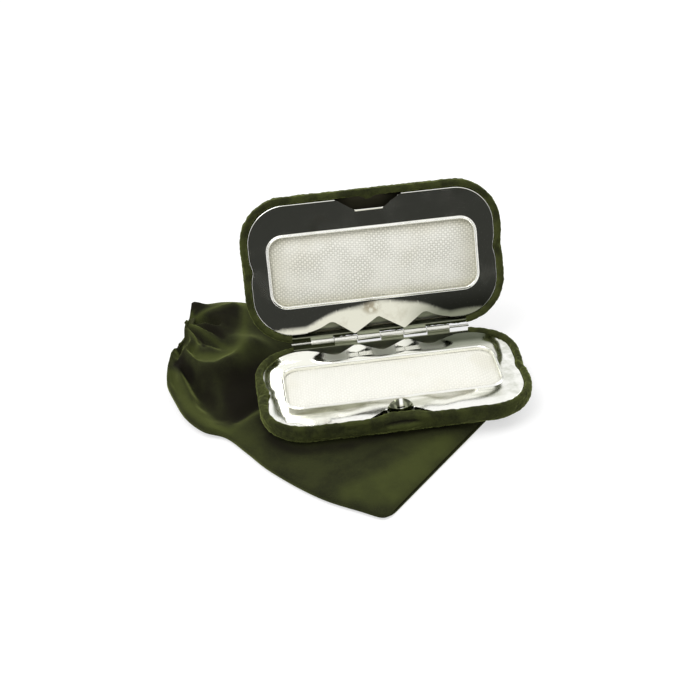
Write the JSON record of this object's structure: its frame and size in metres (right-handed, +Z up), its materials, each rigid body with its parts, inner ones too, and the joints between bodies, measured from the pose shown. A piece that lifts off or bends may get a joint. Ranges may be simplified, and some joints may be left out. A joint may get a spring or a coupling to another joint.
{
  "type": "charcoal hand warmer",
  "caption": "Open clamshell charcoal hand warmer: velvet-covered tin halves with framed glass-cloth pads and a spring catch, standing on its drawn-in velvet pouch.",
  "frame": {"origin": "on the pouch's flat underside, under the middle of the case's outline", "axes": "+Z up, +X along the hinge towards the picture's right, +Y from the catch towards the hinge"},
  "size_m": [0.1489, 0.1566, 0.0751],
  "materials": {
    "velvet": "olive-green cotton velvet, short pile",
    "elastic": "olive braided elastic",
    "tinplate": "tinned sheet steel",
    "bright_plate": "bright plated sheet steel",
    "wire": "plain steel wire",
    "glass_cloth": "cream plain-woven glass cloth",
    "glass_wool": "loose glass wool"
  },
  "bodies": {
    "pouch": {"pouch_bag": "velvet", "pouch_elastic": "elastic"},
    "base": {"base_shell": "tinplate", "base_velvet": "velvet", "base_frame": "bright_plate", "base_glass_cloth": "glass_cloth", "base_glass_wool": "glass_wool", "hinge_pin": "wire", "catch_rivet_left": "wire", "catch_rivet_right": "wire"},
    "catch": {"catch_spring": "bright_plate"},
    "lid": {"lid_shell": "tinplate", "lid_velvet": "velvet", "lid_frame": "bright_plate", "lid_glass_cloth": "glass_cloth", "lid_glass_wool": "glass_wool"}
  },
  "joints": [
    {"name": "case_lift", "type": "slide", "parent": "pouch", "child": "base", "axis": [0, 0, 1], "range_m": [0, 0.08]},
    {"name": "lid_hinge", "type": "hinge", "parent": "base", "child": "lid", "pos_m": [0, 0.03258, 0.0141], "axis": [1, 0, 0], "range_deg": [0, 107.16]},
    {"name": "catch_flex", "type": "hinge", "parent": "base", "child": "catch", "pos_m": [0, -0.02155, 0.00755], "axis": [-1, 0, 0], "range_deg": [0, 4], "stiffness_Nm_per_rad": 0.4}
  ]
}
